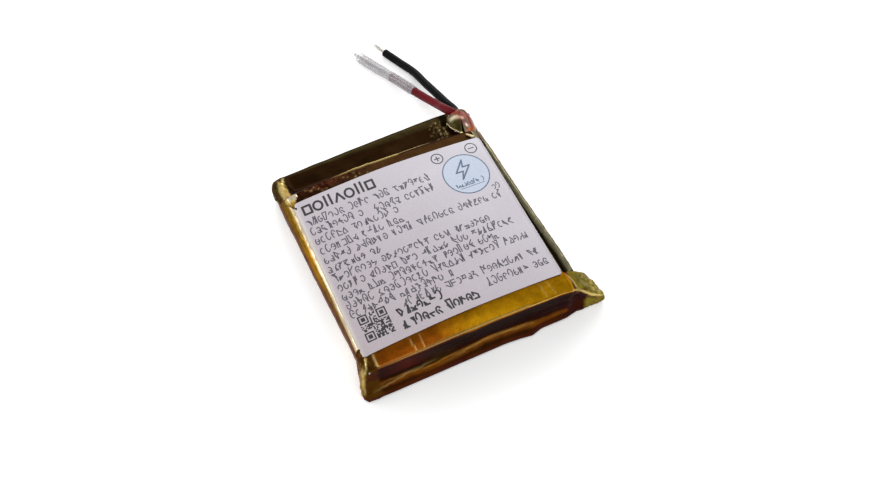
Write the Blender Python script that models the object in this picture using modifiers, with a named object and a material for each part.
"""Pouch battery cell with a protection board, two leads, insulating tapes and a label.

The cell lies flat: +X runs across its width, +Y towards the end with the board and the
leads, +Z up to the label. The origin is the centre of the cell's underside.
"""

from math import cos, pi, radians, sin

import bmesh
import bpy
from mathutils import Vector

MM = 0.001

# Driving dimensions of the cell, over its tapes
CELL_WIDTH = 27.88 * MM
CELL_LENGTH = 31.3 * MM
CELL_HEIGHT = 6.70 * MM

# Thin layers, and the clearance between one layer and the next
LAMINATE = 0.15 * MM
TAPE = 0.06 * MM
LABEL_THICKNESS = 0.08 * MM
CLEARANCE = 0.03 * MM
FOLD_RADIUS = 0.12 * MM

# Y stations: the cup's end wall, the sealed terrace's edge and both ends over the tape
FRONT_Y = -15.60 * MM
REAR_Y = FRONT_Y + CELL_LENGTH
CUP_END_Y = 9.65 * MM
TERRACE_END_Y = 14.0 * MM
SIDE_X = CELL_WIDTH / 2

# Pouch: the cover stands on its belly, between the tapes, and the cup on its flange
COVER_Z = TAPE + 0.04 * MM
BELLY_WIDTH = 23.0 * MM
BELLY_LENGTH = 19.8 * MM
BELLY_CENTRE_Y = -0.7 * MM
FLANGE_GAP = 0.30 * MM
CUP_FLANGE_Z = COVER_Z + LAMINATE + FLANGE_GAP
CUP_TOP_Z = CELL_HEIGHT - LABEL_THICKNESS - TAPE - 2 * CLEARANCE
CUP_EDGE_RADIUS = 0.5 * MM
RIM_TOP_Z = 4.4 * MM
RIM_STEP = 0.12 * MM

# Electrode winding: four strips wound flat round a thin slot
WINDING_Z = 3.28 * MM
WINDING_HALF_HEIGHT = 2.85 * MM
WINDING_HALF_WIDTH = 12.95 * MM
WINDING_FRONT_Y = -14.6 * MM
WINDING_REAR_Y = 8.4 * MM
SLOT_HALF_HEIGHT = 0.20 * MM
WINDING_TURNS = 3
ARC_STEPS = 6
SEPARATOR = 0.08 * MM
ELECTRODE = 0.18 * MM
SEPARATOR_OVERHANG = 0.5 * MM

# Tabs: out of the winding, down the end wall, through the seal and back over the terrace
TAB_X = 4.5 * MM
TAB_WIDTH = 3.0 * MM
TAB_THICKNESS = 0.10 * MM
TAB_SEAL_Z = 0.40 * MM
TAB_DROP_Y = 8.95 * MM
TAB_TURN_Y = 14.85 * MM
TAB_RETURN_Z = 1.35 * MM
TAB_END_Y = 11.2 * MM
SEALANT_WIDTH = 5.0 * MM
SEALANT_HEIGHT = 0.24 * MM

# Protection board, face up on its strips above the terrace
BOARD_LENGTH = 26.0 * MM
BOARD_WIDTH = 3.8 * MM
BOARD_THICKNESS = 0.60 * MM
BOARD_Y = 12.1 * MM
BOARD_BOTTOM_Z = 2.60 * MM
BOARD_TOP_Z = BOARD_BOTTOM_Z + BOARD_THICKNESS
STRIP_THICKNESS = 0.12 * MM

# Leads: stranded cores in round insulation, soldered to the board's right-hand end
LEAD_DIAMETER = 1.10 * MM
LEAD_WALL = 0.24 * MM
CORE_DIAMETER = 0.50 * MM
SLEEVE_DIAMETER = 1.46 * MM
SLEEVE_WALL = 0.12 * MM
SOLDER_DIAMETER = 1.30 * MM
SOLDER_HEIGHT = 0.62 * MM

# The route of each lead's axis, from its solder joint to its free end on the table
RED_ROUTE = (
    (12.30, 11.15, 3.82), (12.70, 12.00, 3.95), (12.40, 12.80, 4.50), (11.45, 13.30, 4.97),
    (10.75, 14.20, 4.93), (10.40, 15.30, 4.45), (10.17, 17.20, 3.40), (9.33, 20.40, 2.20),
    (8.07, 24.37, 1.25), (6.49, 27.87, 0.87), (4.60, 31.75, 0.75),
)
BLACK_ROUTE = (
    (11.00, 12.20, 3.82), (11.22, 13.20, 3.82), (11.60, 14.25, 3.78), (11.95, 15.30, 3.45),
    (11.75, 17.05, 2.90), (11.45, 19.65, 2.25), (11.16, 22.52, 1.45), (10.85, 25.48, 0.75),
    (9.86, 27.96, 0.57), (8.79, 30.31, 0.57), (7.93, 32.40, 0.57),
)
RED_INSULATION = (0.08, 0.72)
BLACK_INSULATION = (0.08, 0.91)
SLEEVE_SPAN = (0.52, 0.96)
LEAD_SAMPLES = 26

# Blister that the rear tape makes over the lead joints
BLISTER_CENTRE = (11.35 * MM, 12.75 * MM, 3.1 * MM)
BLISTER_RADII = (2.35 * MM, 2.75 * MM, 2.85 * MM)
BLISTER_WALL = 0.10 * MM

# Label, a little off the cell's centre
LABEL_WIDTH = 25.0 * MM
LABEL_LENGTH = 21.18 * MM
LABEL_CENTRE = (-0.60 * MM, -2.71 * MM)
LABEL_CORNER = 0.5 * MM

# Front tape's dog-ear at the right-hand corner
EAR_REACH = 16.9 * MM
EAR_BACK_Y = -11.6 * MM
EAR_HEIGHT = 4.4 * MM
EAR_TIP_HEIGHT = 1.9 * MM

COLLECTION_NAME = "pouch_battery_cell"
CUTTER_COLLECTION_NAME = "cutters"

MATERIALS = {
    # name: (colour, roughness, metallic)
    "laminate": ((0.62, 0.62, 0.63), 0.32, 0.9),
    "cathode": ((0.05, 0.05, 0.055), 0.7, 0.0),
    "anode": ((0.10, 0.10, 0.11), 0.6, 0.0),
    "separator": ((0.88, 0.88, 0.86), 0.5, 0.0),
    "green_tape": ((0.15, 0.42, 0.22), 0.4, 0.0),
    "aluminium": ((0.80, 0.80, 0.82), 0.3, 1.0),
    "nickel": ((0.66, 0.62, 0.56), 0.3, 1.0),
    "sealant": ((0.80, 0.78, 0.70), 0.5, 0.0),
    "barley_paper": ((0.16, 0.40, 0.26), 0.8, 0.0),
    "board": ((0.02, 0.05, 0.03), 0.35, 0.0),
    "chip": ((0.02, 0.02, 0.02), 0.5, 0.0),
    "resistor": ((0.03, 0.03, 0.035), 0.3, 0.0),
    "capacitor": ((0.36, 0.24, 0.14), 0.4, 0.0),
    "solder": ((0.70, 0.70, 0.70), 0.25, 1.0),
    "red_insulation": ((0.33, 0.012, 0.028), 0.4, 0.0),
    "black_insulation": ((0.012, 0.012, 0.013), 0.4, 0.0),
    "tinned_copper": ((0.72, 0.70, 0.68), 0.3, 1.0),
    "clear_sleeve": ((0.75, 0.75, 0.78), 0.2, 0.0),
    "amber_tape": ((0.45, 0.22, 0.03), 0.2, 0.0),
    "label_paper": ((0.80, 0.77, 0.80), 0.5, 0.0),
}


# ---------------------------------------------------------------- scene helpers


def clear_scene():
    for old in list(bpy.data.objects):
        bpy.data.objects.remove(old, do_unlink=True)


def new_collection(name):
    collection = bpy.data.collections.new(name)
    bpy.context.scene.collection.children.link(collection)
    return collection


def make_material(name):
    colour, roughness, metallic = MATERIALS[name]
    material = bpy.data.materials.new(name)
    material.use_nodes = True
    shader = material.node_tree.nodes["Principled BSDF"]
    shader.inputs["Base Color"].default_value = (*colour, 1.0)
    shader.inputs["Roughness"].default_value = roughness
    shader.inputs["Metallic"].default_value = metallic
    return material


def add_object(name, bm, material):
    """Turns a bmesh into an object of the part, with its own material."""
    bmesh.ops.recalc_face_normals(bm, faces=bm.faces)
    mesh = bpy.data.meshes.new(name)
    bm.to_mesh(mesh)
    bm.free()
    mesh.materials.append(make_material(material))
    obj = bpy.data.objects.new(name, mesh)
    bpy.data.collections[COLLECTION_NAME].objects.link(obj)
    return obj


def as_cutter(obj):
    """Takes an object out of the part and keeps it as a construction shape."""
    bpy.data.collections[COLLECTION_NAME].objects.unlink(obj)
    bpy.data.collections[CUTTER_COLLECTION_NAME].objects.link(obj)
    obj.hide_render = True
    obj.display_type = "WIRE"
    return obj


def combine(obj, other, operation):
    modifier = obj.modifiers.new(f"{operation.lower()}_{other.name}", "BOOLEAN")
    modifier.operation = operation
    modifier.object = other
    modifier.solver = "EXACT"


def thicken(obj, thickness, offset):
    modifier = obj.modifiers.new("thickness", "SOLIDIFY")
    modifier.thickness = thickness
    modifier.offset = offset
    modifier.solidify_mode = "NON_MANIFOLD"
    modifier.nonmanifold_thickness_mode = "CONSTRAINTS"


def round_weighted_edges(obj, radius, segments):
    modifier = obj.modifiers.new("rounding", "BEVEL")
    modifier.limit_method = "WEIGHT"
    modifier.width = radius
    modifier.segments = segments


def weigh_edges(bm, wanted):
    layer = bm.edges.layers.float.new("bevel_weight_edge")
    for edge in bm.edges:
        edge[layer] = 1.0 if wanted(edge) else 0.0


# ---------------------------------------------------------------- basic shapes


def block(name, size, centre, material, edge=0.0, upright_only=False):
    """A box whose edges, or whose upright edges alone, are rounded."""
    bm = bmesh.new()
    bmesh.ops.create_cube(bm, size=1.0)
    bmesh.ops.scale(bm, vec=size, verts=bm.verts)
    bmesh.ops.translate(bm, vec=centre, verts=bm.verts)

    def is_rounded(line):
        a, b = (v.co for v in line.verts)
        return not upright_only or abs(a.z - b.z) > size[2] / 2

    weigh_edges(bm, is_rounded)
    obj = add_object(name, bm, material)
    if edge:
        round_weighted_edges(obj, edge, 3 if upright_only else 2)
    return obj


def ribbon(name, path, start, width, thickness, material, across="Y"):
    """A strip of even thickness that follows a path of (first, z) points.

    across is the axis that the strip's width runs along, from start: with "Y" the
    path's first coordinate is X, and with "X" it is Y.
    """
    bm = bmesh.new()
    step = Vector((width, 0, 0)) if across == "X" else Vector((0, width, 0))
    line = []
    for first, z in path:
        place = (start, first, z) if across == "X" else (first, start, z)
        line.append(bm.verts.new(place))
    edges = [bm.edges.new(pair) for pair in zip(line, line[1:])]
    made = bmesh.ops.extrude_edge_only(bm, edges=edges)
    moved = [v for v in made["geom"] if isinstance(v, bmesh.types.BMVert)]
    bmesh.ops.translate(bm, vec=step, verts=moved)
    obj = add_object(name, bm, material)
    thicken(obj, thickness, 0.0)
    return obj


def plate(name, outline, x, thickness, material):
    """A flat plate across X whose outline is a ring of (y, z) points."""
    bm = bmesh.new()
    bm.faces.new([bm.verts.new((x, y, z)) for y, z in outline])
    obj = add_object(name, bm, material)
    thicken(obj, thickness, 0.0)
    return obj


def ellipsoid(name, centre, radii):
    bm = bmesh.new()
    bmesh.ops.create_uvsphere(bm, u_segments=20, v_segments=12, radius=1.0)
    bmesh.ops.scale(bm, vec=radii, verts=bm.verts)
    bmesh.ops.translate(bm, vec=centre, verts=bm.verts)
    return add_object(name, bm, "amber_tape")


def arc(centre, radius, first_angle, last_angle, steps):
    """Points on an arc of a (first, z) path, its angles in degrees from the first axis."""
    points = []
    for i in range(steps + 1):
        angle = radians(first_angle + (last_angle - first_angle) * i / steps)
        points.append((centre[0] + radius * cos(angle), centre[1] + radius * sin(angle)))
    return points


def smooth_route(route, samples):
    """Evenly spaced points on a smooth curve through the route's points, in metres."""
    points = [Vector(p) * MM for p in route]
    ends = [2 * points[0] - points[1]], [2 * points[-1] - points[-2]]
    knots = ends[0] + points + ends[1]
    fine = []
    for a, b, c, d in zip(knots, knots[1:], knots[2:], knots[3:]):
        for i in range(12):
            t = i / 12
            fine.append(
                0.5
                * (
                    2 * b
                    + (c - a) * t
                    + (2 * a - 5 * b + 4 * c - d) * t**2
                    + (3 * b - a - 3 * c + d) * t**3
                )
            )
    fine.append(points[-1])
    distance = [0.0]
    for a, b in zip(fine, fine[1:]):
        distance.append(distance[-1] + (b - a).length)
    even, at = [], 0
    for i in range(samples):
        want = distance[-1] * i / (samples - 1)
        while at < len(fine) - 2 and distance[at + 1] < want:
            at += 1
        part = (want - distance[at]) / (distance[at + 1] - distance[at])
        even.append(fine[at].lerp(fine[at + 1], part))
    return even


def stretch(points, span):
    """The points of an even route between two fractions of its length."""
    last = len(points) - 1
    first_index = round(span[0] * last)
    last_index = round(span[1] * last)
    return points[first_index : last_index + 1]


def tube(name, points, diameter, material, wall=None):
    """A round bar along the points, or a hollow tube where a wall is given."""
    curve = bpy.data.curves.new(name, "CURVE")
    curve.dimensions = "3D"
    curve.bevel_depth = diameter / 2
    curve.bevel_resolution = 2
    curve.use_fill_caps = wall is None
    spline = curve.splines.new("POLY")
    spline.points.add(len(points) - 1)
    for place, point in zip(spline.points, points):
        place.co = (*point, 1.0)
    carrier = bpy.data.objects.new(name + "_curve", curve)
    bpy.data.collections[COLLECTION_NAME].objects.link(carrier)
    evaluated = carrier.evaluated_get(bpy.context.evaluated_depsgraph_get())
    mesh = bpy.data.meshes.new_from_object(evaluated)
    bpy.data.objects.remove(carrier, do_unlink=True)
    bpy.data.curves.remove(curve)
    bm = bmesh.new()
    bm.from_mesh(mesh)
    bpy.data.meshes.remove(mesh)
    bmesh.ops.remove_doubles(bm, verts=bm.verts, dist=0.001 * MM)
    obj = add_object(name, bm, material)
    if wall is not None:
        thicken(obj, wall, -1.0)
    obj.data.shade_smooth()
    return obj


# ---------------------------------------------------------------- pouch


def tray(name, x_lines, y_lines, z, cup_height=None):
    """Laminate laid on the lines' grid at z, with its rims folded up on three sides.

    With a cup height the middle cell of the grid is drawn up into the cup.
    """
    columns, rows = len(x_lines) - 1, len(y_lines) - 1
    bm = bmesh.new()
    bmesh.ops.create_grid(bm, x_segments=columns, y_segments=rows, size=1.0)
    for v in bm.verts:
        column = round((v.co.x + 1) / 2 * columns)
        row = round((v.co.y + 1) / 2 * rows)
        v.co = (x_lines[column], y_lines[row], z)
    small = 0.01 * MM
    folded = []
    for edge in bm.edges:
        a, b = (v.co for v in edge.verts)
        on_side = abs(abs(a.x) - x_lines[-1]) < small and abs(a.x - b.x) < small
        on_front = abs(a.y - y_lines[0]) < small and abs(b.y - y_lines[0]) < small
        if on_front or (on_side and max(a.y, b.y) < CUP_END_Y + small):
            folded.append(edge)
    made = bmesh.ops.extrude_edge_only(bm, edges=folded)
    risen = [v for v in made["geom"] if isinstance(v, bmesh.types.BMVert)]
    bmesh.ops.translate(bm, vec=(0, 0, RIM_TOP_Z - z), verts=risen)
    if cup_height:
        middle = [f for f in bm.faces if f.calc_center_median().length < abs(y_lines[0]) / 2]
        made = bmesh.ops.extrude_face_region(bm, geom=middle)
        risen = [v for v in made["geom"] if isinstance(v, bmesh.types.BMVert)]
        bmesh.ops.delete(bm, geom=middle, context="FACES")
        bmesh.ops.translate(bm, vec=(0, 0, cup_height), verts=risen)

    def on_cup(edge):
        heights = [v.co.z for v in edge.verts]
        inside = all(abs(v.co.x) < x_lines[-1] - small for v in edge.verts)
        return bool(cup_height) and inside and max(heights) > RIM_TOP_Z

    weigh_edges(bm, on_cup)
    bmesh.ops.recalc_face_normals(bm, faces=bm.faces)
    floor = [f for f in bm.faces if abs(f.normal.z) > 0.9][0]
    if floor.normal.z < 0:
        bmesh.ops.reverse_faces(bm, faces=bm.faces)
    mesh = bpy.data.meshes.new(name)
    bm.to_mesh(mesh)
    bm.free()
    mesh.materials.append(make_material("laminate"))
    obj = bpy.data.objects.new(name, mesh)
    bpy.data.collections[COLLECTION_NAME].objects.link(obj)
    if cup_height:
        round_weighted_edges(obj, CUP_EDGE_RADIUS, 4)
    thicken(obj, LAMINATE, -1.0)
    return obj


def make_pouch():
    cover_rim_x = SIDE_X - TAPE - CLEARANCE - LAMINATE
    cup_rim_x = cover_rim_x - 0.05 * MM - LAMINATE
    cover_front_y = FRONT_Y + TAPE + 0.04 * MM + LAMINATE
    cup_rim_y = cover_front_y + 0.05 * MM + LAMINATE
    cover = tray(
        "pouch_cover",
        (-cover_rim_x, cover_rim_x),
        (cover_front_y, CUP_END_Y, TERRACE_END_Y),
        COVER_Z + LAMINATE,
    )
    belly_height = COVER_Z + LAMINATE / 3
    belly_centre = (0, BELLY_CENTRE_Y, belly_height / 2)
    belly_size = (BELLY_WIDTH, BELLY_LENGTH, belly_height)
    combine(cover, as_cutter(block("belly", belly_size, belly_centre, "laminate")), "UNION")
    wall_x = cup_rim_x - RIM_STEP
    flange_top_z = CUP_FLANGE_Z + LAMINATE
    tray(
        "pouch_cup",
        (-cup_rim_x, -wall_x, wall_x, cup_rim_x),
        (cup_rim_y, cup_rim_y + RIM_STEP, CUP_END_Y, TERRACE_END_Y),
        flange_top_z,
        cup_height=CUP_TOP_Z - flange_top_z,
    )


# ---------------------------------------------------------------- electrode winding


def winding_path(layer_offset, pitch, half_straight):
    """A flat spiral in the XZ plane, from the slot outwards."""
    points = []
    steps_per_turn = 2 * ARC_STEPS
    for turn in range(2 * WINDING_TURNS):
        side = 1 if turn % 2 == 0 else -1
        for i in range(ARC_STEPS + 1):
            half_turn_angle = -pi / 2 + pi * i / ARC_STEPS
            gone = (turn * ARC_STEPS + i) / steps_per_turn
            radius = SLOT_HALF_HEIGHT + layer_offset + pitch * gone
            points.append(
                (
                    side * (half_straight + radius * cos(half_turn_angle)),
                    WINDING_Z + side * radius * sin(half_turn_angle),
                )
            )
    return points


def make_winding():
    layers = (
        ("inner_separator", SEPARATOR, 0.0, "separator"),
        ("anode_strip", ELECTRODE, SEPARATOR_OVERHANG, "anode"),
        ("outer_separator", SEPARATOR, 0.0, "separator"),
        ("cathode_strip", ELECTRODE, 2 * SEPARATOR_OVERHANG, "cathode"),
    )
    space = WINDING_HALF_HEIGHT - SLOT_HALF_HEIGHT
    pitch = space / (WINDING_TURNS + 1)
    solid = sum(layer[1] for layer in layers)
    gap = (pitch - solid) / len(layers)
    half_straight = WINDING_HALF_WIDTH - WINDING_HALF_HEIGHT
    offset = 0.0
    for name, thickness, inset, material in layers:
        ribbon(
            name,
            winding_path(offset + thickness / 2, pitch, half_straight),
            WINDING_FRONT_Y + inset,
            WINDING_REAR_Y - WINDING_FRONT_Y - 2 * inset,
            thickness,
            material,
        )
        offset += thickness + gap
    stop_z = CUP_TOP_Z - LAMINATE - TAPE
    ribbon(
        "winding_stop_tape",
        ((-5 * MM, stop_z), (5 * MM, stop_z)),
        -13 * MM,
        20 * MM,
        TAPE,
        "green_tape",
    )


# ---------------------------------------------------------------- tabs and seal


def tab_path():
    """From the winding's slot, down the end wall, out through the seal, up and back."""
    bend = 0.6 * MM
    turn = (TAB_RETURN_Z - TAB_SEAL_Z) / 2
    path = [(-2.0 * MM, WINDING_Z)]
    path += arc((TAB_DROP_Y - bend, WINDING_Z - bend), bend, 90, 0, 3)
    path += arc((TAB_DROP_Y + bend, TAB_SEAL_Z + bend), bend, 180, 270, 3)
    path += arc((TAB_TURN_Y, TAB_SEAL_Z + turn), turn, -90, 90, 6)
    path.append((TAB_END_Y, TAB_RETURN_Z))
    return path


def make_tab(name, x, material):
    ribbon(name, tab_path(), x - TAB_WIDTH / 2, TAB_WIDTH, TAB_THICKNESS, material, "X")
    length = TERRACE_END_Y + 0.3 * MM - (CUP_END_Y + 0.5 * MM)
    centre = (x, CUP_END_Y + 0.5 * MM + length / 2, TAB_SEAL_Z)
    film = block(
        name + "_sealant",
        (SEALANT_WIDTH, length, SEALANT_HEIGHT),
        centre,
        "sealant",
        edge=0.04 * MM,
    )
    slot = block(
        name + "_sealant_slot",
        (TAB_WIDTH + 0.1 * MM, 2 * length, TAB_THICKNESS + 0.04 * MM),
        centre,
        "sealant",
    )
    combine(film, as_cutter(slot), "DIFFERENCE")


def make_board_strip(name, x):
    """The nickel strip between a tab's end and the board's underside."""
    low_z = TAB_RETURN_Z + TAB_THICKNESS / 2 + CLEARANCE + STRIP_THICKNESS / 2
    high_z = BOARD_BOTTOM_Z - CLEARANCE - STRIP_THICKNESS / 2
    middle = (low_z + high_z) / 2
    path = [(TAB_END_Y, low_z)]
    path += arc((13.3 * MM, middle), (high_z - low_z) / 2, -90, 90, 6)
    path.append((TAB_END_Y, high_z))
    ribbon(name, path, x - TAB_WIDTH / 2, TAB_WIDTH, STRIP_THICKNESS, "nickel", "X")


def make_tabs():
    make_tab("positive_tab", TAB_X, "aluminium")
    make_tab("negative_tab", -TAB_X, "nickel")
    make_board_strip("positive_board_strip", TAB_X)
    make_board_strip("negative_board_strip", -TAB_X)
    pad_bottom_z = CUP_FLANGE_Z + LAMINATE + CLEARANCE
    pad_height = TAB_RETURN_Z - TAB_THICKNESS / 2 - CLEARANCE - pad_bottom_z
    block(
        "insulating_pad",
        (24.0 * MM, 3.9 * MM, pad_height),
        (0, 11.85 * MM, pad_bottom_z + pad_height / 2),
        "barley_paper",
    )


# ---------------------------------------------------------------- protection board


def chip_with_pins(name, x, size, pins):
    """A moulded chip under the board, its pin rows joined to its sides."""
    top = BOARD_BOTTOM_Z - CLEARANCE
    body = block(
        name,
        size,
        (x, BOARD_Y, top - 0.1 * MM - size[2] / 2),
        "chip",
        edge=0.08 * MM,
    )
    reach = 0.45 * MM
    pitch = size[0] / pins
    for pin in range(pins):
        bar = block(
            f"{name}_pin_{pin}",
            (0.45 * pitch, size[1] + 2 * reach, 0.14 * MM),
            (x + (pin - (pins - 1) / 2) * pitch, BOARD_Y, top - 0.14 * MM),
            "solder",
        )
        combine(body, as_cutter(bar), "UNION")


def chip_part(name, x, y, height, material):
    size = (1.6 * MM, 0.8 * MM, height)
    top = BOARD_BOTTOM_Z - CLEARANCE
    block(name, size, (x, y, top - height / 2), material, edge=0.05 * MM)


def make_board():
    block(
        "protection_board",
        (BOARD_LENGTH, BOARD_WIDTH, BOARD_THICKNESS),
        (0, BOARD_Y, BOARD_BOTTOM_Z + BOARD_THICKNESS / 2),
        "board",
        edge=0.2 * MM,
        upright_only=True,
    )
    chip_with_pins("protection_chip", 0, (2.9 * MM, 1.6 * MM, 0.9 * MM), 3)
    chip_with_pins("switch_chip", 9.2 * MM, (3.0 * MM, 2.8 * MM, 0.9 * MM), 4)
    chip_part("filter_resistor", -7.6 * MM, BOARD_Y - 1.0 * MM, 0.45 * MM, "resistor")
    chip_part("sense_resistor", -7.6 * MM, BOARD_Y + 1.0 * MM, 0.45 * MM, "resistor")
    chip_part("filter_capacitor", -10.2 * MM, BOARD_Y - 1.0 * MM, 0.8 * MM, "capacitor")
    chip_part("lead_capacitor", -10.2 * MM, BOARD_Y + 1.0 * MM, 0.8 * MM, "capacitor")


# ---------------------------------------------------------------- leads


def make_solder_joint(name, core_points):
    """A dome of solder on the board, with room for the core that it holds."""
    end = core_points[0]
    bm = bmesh.new()
    bmesh.ops.create_uvsphere(bm, u_segments=14, v_segments=8, radius=1.0)
    size = (SOLDER_DIAMETER / 2, SOLDER_DIAMETER / 2, SOLDER_HEIGHT)
    bmesh.ops.scale(bm, vec=size, verts=bm.verts)
    base_z = BOARD_TOP_Z + CLEARANCE
    bmesh.ops.translate(bm, vec=(end.x, end.y, base_z), verts=bm.verts)
    dome = add_object(name, bm, "solder")
    under = block(
        name + "_underside",
        (4 * SOLDER_DIAMETER, 4 * SOLDER_DIAMETER, 2 * SOLDER_HEIGHT),
        (end.x, end.y, base_z - SOLDER_HEIGHT),
        "solder",
    )
    combine(dome, as_cutter(under), "DIFFERENCE")
    back = core_points[0] + (core_points[0] - core_points[1]) * 4
    room = tube(
        name + "_core_room",
        [back] + core_points[:8],
        CORE_DIAMETER + 2 * CLEARANCE,
        "solder",
    )
    combine(dome, as_cutter(room), "DIFFERENCE")
    dome.data.shade_smooth()


def make_lead(colour, route, insulated):
    points = smooth_route(route, LEAD_SAMPLES)
    tube(f"{colour}_lead_core", points, CORE_DIAMETER, "tinned_copper")
    tube(
        f"{colour}_lead_insulation",
        stretch(points, insulated),
        LEAD_DIAMETER,
        f"{colour}_insulation",
        wall=LEAD_WALL,
    )
    return points


def make_leads():
    red = make_lead("red", RED_ROUTE, RED_INSULATION)
    black = make_lead("black", BLACK_ROUTE, BLACK_INSULATION)
    tube(
        "lead_end_sleeve",
        stretch(red, SLEEVE_SPAN),
        SLEEVE_DIAMETER,
        "clear_sleeve",
        wall=SLEEVE_WALL,
    )
    make_solder_joint("positive_solder_joint", red)
    make_solder_joint("negative_solder_joint", black)


# ---------------------------------------------------------------- tapes and label


def make_end_tapes():
    """Tapes that wrap from the cell's top, round each end, to its underside."""
    top_z = CUP_TOP_Z + CLEARANCE + TAPE / 2
    low_z = TAPE / 2
    end_x = SIDE_X - 0.1 * MM
    front = FRONT_Y + TAPE / 2
    bend = 0.35 * MM
    path = [(-11.9 * MM, top_z)]
    path += arc((front + bend, top_z - bend), bend, 90, 180, 4)
    path += arc((front + FOLD_RADIUS, low_z + FOLD_RADIUS), FOLD_RADIUS, 180, 270, 2)
    path.append((-11.0 * MM, low_z))
    tape = ribbon("front_end_tape", path, -end_x, 2 * end_x + 0.3 * MM, TAPE, "amber_tape", "X")
    combine(tape, as_cutter(make_ear()), "UNION")

    rear = REAR_Y - TAPE / 2
    over_board = BOARD_TOP_Z + CLEARANCE + TAPE / 2
    board_edge_y = BOARD_Y + BOARD_WIDTH / 2
    path = [(7.0 * MM, top_z), (CUP_END_Y - 0.3 * MM, top_z)]
    path += [(CUP_END_Y + 0.15 * MM, top_z - 0.25 * MM)]
    path += [(CUP_END_Y + 0.35 * MM, over_board + 0.25 * MM)]
    path += [(CUP_END_Y + 0.6 * MM, over_board)]
    path += [(board_edge_y + 0.05 * MM, over_board)]
    path += [(board_edge_y + 0.20 * MM, over_board - 0.2 * MM)]
    path += [(rear, 1.6 * MM)]
    path += arc((rear - FOLD_RADIUS, low_z + FOLD_RADIUS), FOLD_RADIUS, 0, -90, 2)
    path.append((9.6 * MM, low_z))
    tape = ribbon("rear_end_tape", path, -end_x, 2 * end_x, TAPE, "amber_tape", "X")
    step = next(i for i, point in enumerate(path) if point[0] > CUP_END_Y + 0.3 * MM)
    outline = path[step:-1] + [(path[step][0], low_z)]
    for side, sign in (("left", -1), ("right", 1)):
        wing = plate(f"{side}_wing", outline, sign * (end_x - TAPE / 2), TAPE, "amber_tape")
        combine(tape, as_cutter(wing), "UNION")
    combine(tape, as_cutter(ellipsoid("blister_inside", BLISTER_CENTRE, BLISTER_RADII)), "DIFFERENCE")
    combine(tape, as_cutter(make_blister()), "UNION")


def make_blister():
    """The dome of tape over the lead joints, with an open mouth for the leads."""
    outer = [radius + BLISTER_WALL for radius in BLISTER_RADII]
    dome = ellipsoid("blister", BLISTER_CENTRE, outer)
    inside = bpy.data.objects["blister_inside"]
    combine(dome, inside, "DIFFERENCE")
    floor_z = BOARD_TOP_Z + CLEARANCE
    x, y, _ = BLISTER_CENTRE
    under = block("blister_underside", (9 * MM, 9 * MM, 9 * MM), (x, y, floor_z - 4.5 * MM), "amber_tape")
    combine(dome, as_cutter(under), "DIFFERENCE")
    mouth_size = (3.4 * MM, 4.0 * MM, 5.0 * MM)
    mouth = block("blister_mouth", mouth_size, (x, 15.6 * MM, floor_z + 2.4 * MM), "amber_tape")
    combine(dome, as_cutter(mouth), "DIFFERENCE")
    return dome


def make_ear():
    """The pinched corner of the front tape: a wedge that stands out sideways."""
    inner_x = SIDE_X + 0.02 * MM
    bm = bmesh.new()
    bmesh.ops.create_cube(bm, size=1.0)
    for v in bm.verts:
        outer, front, high = v.co.x > 0, v.co.y < 0, v.co.z > 0
        x = inner_x
        y = FRONT_Y + 0.01 * MM if front else EAR_BACK_Y
        if outer:
            x = EAR_REACH if front else inner_x + 1.1 * MM
            y = FRONT_Y + 0.15 * MM if front else EAR_BACK_Y - 0.5 * MM
        top = EAR_TIP_HEIGHT if outer and front else EAR_HEIGHT
        v.co = (x, y, top if high else 0.01 * MM)
    return add_object("corner_ear", bm, "amber_tape")


def make_side_tapes():
    """Tapes that hold the folded side seals down, from the underside up the rims."""
    for side, sign in (("left", -1), ("right", 1)):
        x = SIDE_X - TAPE / 2
        path = [(11.8 * MM, TAPE / 2)]
        path += arc((x - FOLD_RADIUS, TAPE / 2 + FOLD_RADIUS), FOLD_RADIUS, -90, 0, 2)
        path.append((x, RIM_TOP_Z + 0.3 * MM))
        ribbon(
            f"{side}_side_tape",
            [(sign * first, z) for first, z in path],
            -10.9 * MM,
            20.3 * MM,
            TAPE,
            "amber_tape",
        )


def make_label():
    block(
        "label",
        (LABEL_WIDTH, LABEL_LENGTH, LABEL_THICKNESS),
        (*LABEL_CENTRE, CELL_HEIGHT - LABEL_THICKNESS / 2),
        "label_paper",
        edge=LABEL_CORNER,
        upright_only=True,
    )


def main():
    clear_scene()
    new_collection(COLLECTION_NAME)
    new_collection(CUTTER_COLLECTION_NAME)
    make_pouch()
    make_winding()
    make_tabs()
    make_board()
    make_leads()
    make_end_tapes()
    make_side_tapes()
    make_label()


main()
